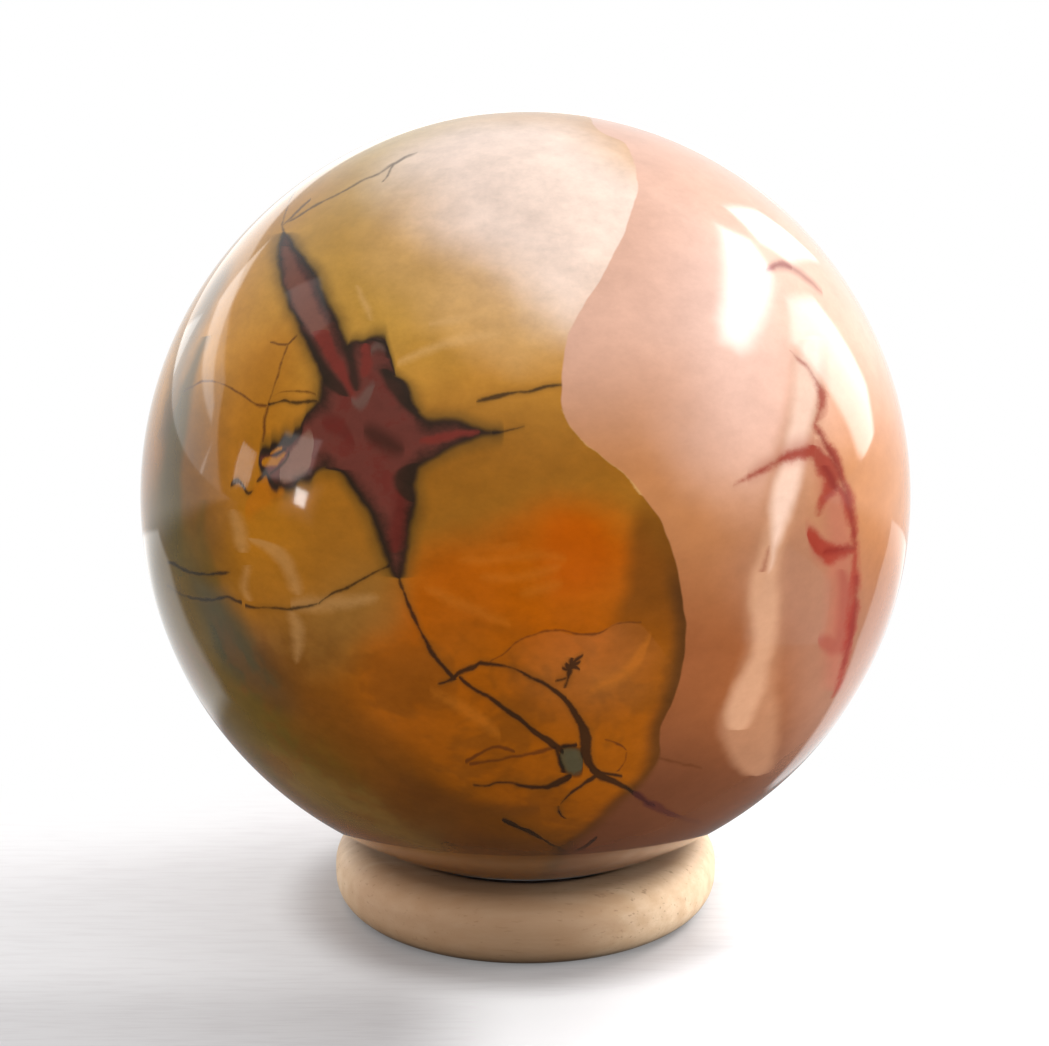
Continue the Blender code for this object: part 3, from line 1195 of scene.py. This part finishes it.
# Heights in pixels of the photograph between which one thing gives way to the next below it
heights = {
    "goldToBronze": (340, 470),
    "bronzeToUmber": (560, 760),
    "olivePatches": (590, 680),
    "pinkTopToMiddle": (300, 480),
    "pinkMiddleToLow": (470, 660),
    "pinkLowToFoot": (680, 800),
    "seamShade": (540, 600),
    "softSeam": (745, 820),
    "topMarks": (325, 327),
}

# Where the ochre meets the pink: half the seam's width at the top and at the foot, and the dark ochre
# along it, in radii
seamEdge = {
    "half": 0.003,
    "halfAtFoot": 0.030,
    "shade": (-0.05, -0.004),
    "shadeShare": 0.8,
}

# In radii from the star's outline: below 0 outside it, above 0 inside
starEdge = {
    "halo": (-0.045, 0.004),
    "haloShare": 0.7,
    "outline": (-0.012, 0.006),
    "fray": 0.025,  # how far the grain frays the rim
    "rim": (-0.004, 0.050),
    "blood": (0.03, 0.07),
    "bloodLevels": (0.47, 0.60),  # of the grain
    "bloodShare": 0.6,
}

# What the photograph doesn't show: veins and maroon islands round the sides and the back
behind = {
    # how squarely the ball faces the camera where they start and where they are full
    "starts": (0.12, -0.15),
    "frontEnds": (0.02, 0.06),  # the same where the marks of the front end
    "fray": 0.01,
    "netScale": 1.7,
    "netWidth": 0.006,
    "netShare": 0.85,
    "islandScale": 1.6,
    "islandLevel": 0.61,
    "islandSoft": 0.006,
    "islandRim": (0.010, 0.050),
}


def stoneColour(name):
    return screenColour(*stone[name])


def cloud(spot, middle, end, core, edge, share):
    # full at up to core radii from a point or a line on the ball, and gone by edge
    nearest = onBall(*middle)
    if end is not None:
        reach = onBall(*end) - nearest
        per = reach.length_squared
        along = spot.dot(reach / per) - nearest.dot(reach) / per
        along = addNode(spot.tree, "ShaderNodeClamp", None, {"Value": along})
        values = {0: reach, 1: along, 2: nearest}
        nearest = addNode(spot.tree, "ShaderNodeVectorMath", {"operation": "MULTIPLY_ADD"}, values)
    return spot.distance(nearest).ramp(core, edge, share, 0.0)


def paintClouds(spot, colour, clouds):
    for name, *cloudShape in clouds:
        colour = cloud(spot, *cloudShape).mix(colour, stoneColour(name))
    return colour


# In radii
markEnds = {
    "beyond": 0.006,  # how far past its last point a stroke or a patch is over
    "halfWidth": -0.05,  # that a stroke has from there on
    "cross": 0.07,  # by which the edges of a patch cross there
}


class FrontView:
    # the ball's surface as seen flat from the front: two wires, across and up, in radii

    def __init__(self, spot, fine):
        self.spot = spot
        self.fray = fine * (2 * grain["roughEdges"]) - grain["roughEdges"]
        self.across = spot.dot(acrossPhoto)
        self.height = spot.dot(upInPhoto)

    def line(self, points, level):
        # the offset from a line of pixels, which runs across if it is level and up if it isn't
        flat = [flatSpot(x, y) for x, y in points]
        if level:
            return self.height - self.across.curve(sorted((place.x, place.y) for place in flat))
        return self.across - self.height.curve(sorted((place.y, place.x) for place in flat))

    def lowerThan(self, start, end, above=0.0, below=1.0):
        # a step from one height of the photograph, in pixels, down to another
        return self.height.ramp(flatSpot(600, end).y, flatSpot(600, start).y, below, above)

    def stroke(self, points):
        # how far inside a stroke: its half width there, less the distance from its middle line
        flat = [flatSpot(x, y) for x, y, half in points]
        level = abs(flat[-1].x - flat[0].x) > abs(flat[-1].y - flat[0].y)
        runs = [(place.x, place.y) if level else (place.y, place.x) for place in flat]
        halves = []
        for number, (along, aside) in enumerate(runs):
            before, after = runs[max(number - 1, 0)], runs[min(number + 1, len(runs) - 1)]
            slope = min(abs((after[1] - before[1]) / ((after[0] - before[0]) or 1e-6)), 2.0)
            halves.append((along, points[number][2] / pixelsPerRadius * math.hypot(1, slope)))
        if runs[0][0] > runs[-1][0]:
            runs, halves = runs[::-1], halves[::-1]
        if runs != sorted(runs):
            raise ValueError(f"a stroke turns back on itself: {points}")
        before = [(halves[0][0] - markEnds["beyond"], markEnds["halfWidth"])]
        after = [(halves[-1][0] + markEnds["beyond"], markEnds["halfWidth"])]
        here, offset = (self.across, self.height) if level else (self.height, self.across)
        return here.curve(before + halves + after) - (offset - here.curve(runs)).size()

    def patch(self, low, high, level):
        # the same for a patch between two edges, both run across if it is level and up if it isn't
        here, offset = (self.across, self.height) if level else (self.height, self.across)

        def edge(points, beyond):
            flat = [flatSpot(x, y) for x, y in points]
            knots = sorted((place.x, place.y) if level else (place.y, place.x) for place in flat)
            first, last = knots[0], knots[-1]
            start = (first[0] - markEnds["beyond"], first[1] + beyond)
            end = (last[0] + markEnds["beyond"], last[1] + beyond)
            return here.curve([start, *knots, end])

        cross = markEnds["cross"]
        return (offset - edge(low, cross)).least(edge(high, -cross) - offset)

    def marks(self, colour, marks):
        for mark in marks.values():
            field = farthestIn([self.stroke(points) for points in mark["strokes"]])
            if not mark.get("smooth"):
                field = field + self.fray * mark.get("rough", 1.0)
            if "halo" in mark:
                halo = mark["halo"]
                shown = field.ramp(-halo["reach"] / pixelsPerRadius, 0.0, 0.0, halo["share"])
                colour = shown.mix(colour, stoneColour(halo["colour"]))
            soft = mark["soft"] / pixelsPerRadius
            shown = field.ramp(-soft, soft, 0.0, mark["share"])
            colour = shown.mix(colour, stoneColour(mark["colour"]))
        return colour


def farthestIn(fields):
    union = fields[0]
    for field in fields[1:]:
        union = union.most(field)
    return union


class Polish:
    # what every part of the stone has in common: the polish and the fine grain in the colour

    def __init__(self, spot, fine):
        self.fine = fine
        self.roughness = fine.ramp(*shine["grainLevels"], *shine["roughness"])
        ripple = spot.noise(shine["ripples"], 1.0)
        values = {"Strength": 1.0, "Distance": shine["rippleHeight"], "Height": ripple}
        self.bump = addNode(spot.tree, "ShaderNodeBump", None, values)

    def stone(self, colour, mottling=grain["inOchre"]):
        values = {
            "Base Color": colour.scaled(self.fine * (2 * mottling) + (1 - mottling)),
            "Roughness": self.roughness,
            "IOR": shine["bend"],
            "Normal": self.bump,
        }
        return addNode(colour.tree, "ShaderNodeBsdfPrincipled", None, values)


def choose(factor, first, second):
    # the second shader where the factor is 1
    return addNode(factor.tree, "ShaderNodeMixShader", None, {0: factor, 1: first, 2: second})


def ochreGround(view, drifting):
    # darker towards the bottom: partly the stone's own colour, partly painted shade
    ground = view.lowerThan(*heights["goldToBronze"]).mix(stoneColour("gold"), stoneColour("bronze"))
    ground = view.lowerThan(*heights["bronzeToUmber"]).mix(ground, stoneColour("umber"))
    ground = paintClouds(drifting, ground, ochreClouds)
    patches = drifting.noise(grain["patches"], 3.0, 0.65)
    patches = patches.ramp(*grain["patchLevels"], 0.0, grain["patchShare"])
    return (patches * view.lowerThan(*heights["olivePatches"])).mix(ground, stoneColour("darkOlive"))


def pinkGround(view, drifting):
    # darker towards the bottom: partly the stone's own colour, partly painted shade
    lower = view.lowerThan(*heights["pinkTopToMiddle"])
    ground = lower.mix(stoneColour("pinkTop"), stoneColour("pinkMiddle"))
    ground = view.lowerThan(*heights["pinkMiddleToLow"]).mix(ground, stoneColour("pinkLow"))
    ground = view.lowerThan(*heights["pinkLowToFoot"]).mix(ground, stoneColour("pinkFoot"))
    return paintClouds(drifting, ground, pinkClouds)


def seamOffset(view, facing):
    # how far each point lies into the pink stone
    flatSeam = [flatSpot(x, y) for x, y in seam]
    before = view.height.curve([(place.y, place.x) for place in reversed(flatSeam)])
    perRadius = 1000 * ballRadius  # millimetres
    turns = [(height / perRadius, offset / perRadius) for height, offset in reversed(seamBehind)]
    lowest, highest = (flatSeam[-1].y, flatSeam[-1].x), (flatSeam[0].y, flatSeam[0].x)
    after = view.height.curve([lowest, *turns, highest])
    return view.across - (facing * before + (1 - facing) * after)


def darkAlongSeam(view, ochre, intoPink):
    # the olive band, the pale wedge under the orange and the dark edge along the seam
    band = view.lowerThan(*oliveBand["top"]) * view.lowerThan(*oliveBand["bottom"], 1.0, 0.0)
    band = band * view.line(oliveBand["edge"], False).ramp(*oliveBand["fade"]) * oliveBand["share"]
    ochre = band.mix(ochre, stoneColour("darkOlive"))
    shade = intoPink.ramp(*seamEdge["shade"]) * view.lowerThan(*heights["seamShade"])
    shade = shade * seamEdge["shadeShare"]
    return shade.mix(ochre, stoneColour("seamShade"))


def starField(view):
    body = view.patch(starBody["left"], starBody["right"], False)
    arms = [view.patch(arm["lower"], arm["upper"], True) for arm in starArms.values()]
    return farthestIn([body, *arms])


def starStone(view, inStar, fine):
    depth = inStar + fine * (2 * starEdge["fray"]) - starEdge["fray"]
    colour = depth.ramp(*starEdge["rim"]).mix(stoneColour("rim"), stoneColour("maroon"))
    blood = fine.ramp(*starEdge["bloodLevels"], 0.0, starEdge["bloodShare"])
    blood = blood * depth.ramp(*starEdge["blood"])
    colour = blood.mix(colour, stoneColour("deepRed"))
    return view.marks(colour, starMarks)


def backStone(spot, colour, intoPink, fine):
    # threads and islands where the photograph doesn't look
    start, full = behind["starts"]
    unseen = spot.dot(towardCamera).ramp(full, start, 1.0, 0.0)
    values = {"Vector": spot, "Scale": behind["netScale"]}
    net = addNode(spot.tree, "ShaderNodeTexVoronoi", {"feature": "DISTANCE_TO_EDGE"}, values)
    net = net + fine * (2 * behind["fray"]) - behind["fray"]
    threads = net.ramp(0.0, behind["netWidth"], behind["netShare"], 0.0) * unseen
    threadColour = intoPink.ramp(-seamEdge["half"], seamEdge["half"])
    threadColour = threadColour.mix(stoneColour("crack"), stoneColour("red"))
    colour = threads.mix(colour, threadColour)
    island = spot.noise(behind["islandScale"], 2.0) - behind["islandLevel"]
    inIsland = (island + fine * (2 * behind["fray"])).ramp(*behind["islandRim"])
    islandColour = inIsland.mix(stoneColour("rim"), stoneColour("maroon"))
    shown = island.ramp(-behind["islandSoft"], behind["islandSoft"]) * unseen
    return shown.mix(colour, islandColour)


def jasperMaterial():
    material, tree = newMaterial("polishedJasper")
    place = addNode(tree, "ShaderNodeTexCoord", out="Object")
    values = {"Vector": place, "Location": -ballCentre / ballRadius, "Scale": (1 / ballRadius,) * 3}
    spot = addNode(tree, "ShaderNodeMapping", None, values)  # in radii from the ball's centre
    facing = spot.dot(towardCamera).ramp(*behind["frontEnds"])

    broad = spot.noise(grain["broad"], 1.0, out="Color")
    small = spot.noise(grain["small"], 1.0, 0.6, out="Color")
    fine = spot.stretched(1.0, 1.0, 1.5).noise(grain["fine"], 4.5, 0.74)
    drifting = spot.shaken(broad, grain["broadDrift"]).shaken(small, grain["smallDrift"])
    view = FrontView(spot.shaken(small, grain["markDrift"]), fine)
    polish = Polish(spot, fine)

    ochre = ochreGround(view, drifting)
    pink = pinkGround(view, drifting)
    intoPink = seamOffset(view, facing)
    edge = view.lowerThan(*heights["softSeam"], seamEdge["half"], seamEdge["halfAtFoot"])
    inPink = intoPink.ramp(edge * -1, edge)
    ochreAround = darkAlongSeam(view, ochre, intoPink)

    inStar = starField(view)
    halo = inStar.ramp(*starEdge["halo"], 0.0, starEdge["haloShare"])
    ochre = halo.mix(ochreAround, stoneColour("halo"))
    byStar = polish.stone(view.marks(view.marks(ochre, stains), threadsByStar))
    lower = view.lowerThan(*heights["topMarks"])
    byStar = choose(lower, polish.stone(view.marks(ochre, threadsAtTop)), byStar)
    star = polish.stone(starStone(view, inStar, fine))
    byStar = choose((inStar + view.fray).ramp(*starEdge["outline"]), byStar, star)

    below = view.line(wedge["edge"], True).ramp(-wedge["soft"], wedge["soft"], 1.0, 0.0)
    shown = below * cloud(view.spot, wedge["middle"], None, wedge["core"], wedge["reach"], wedge["share"])
    net = shown.mix(ochre, stoneColour("wedge"))
    net = polish.stone(view.marks(view.marks(net, lowStreaksAndShade), threadNet))
    reach = aroundNet["reach"]
    fromNet = spot.distance(onBall(*aroundNet["middle"]))
    ochreSide = choose(fromNet.ramp(reach - aroundNet["soft"], reach, 1.0, 0.0), byStar, net)

    pinkSide = view.marks(view.marks(pink, bands), redMarks)
    pinkSide = polish.stone(view.marks(pinkSide, threadsInPink), grain["inPink"])
    pinkSide = choose(lower, polish.stone(view.marks(pink, redAtTop), grain["inPink"]), pinkSide)
    front = choose(inPink, ochreSide, pinkSide)
    back = polish.stone(backStone(drifting, inPink.mix(ochreAround, pink), intoPink, fine))
    choose(facing, back, front).to("ShaderNodeOutputMaterial")
    print("jasper made,", len(tree.nodes), "nodes")
    return material


makeBall(jasperMaterial())
print("ball made")
makeRing(woodMaterial())
print("ring made")
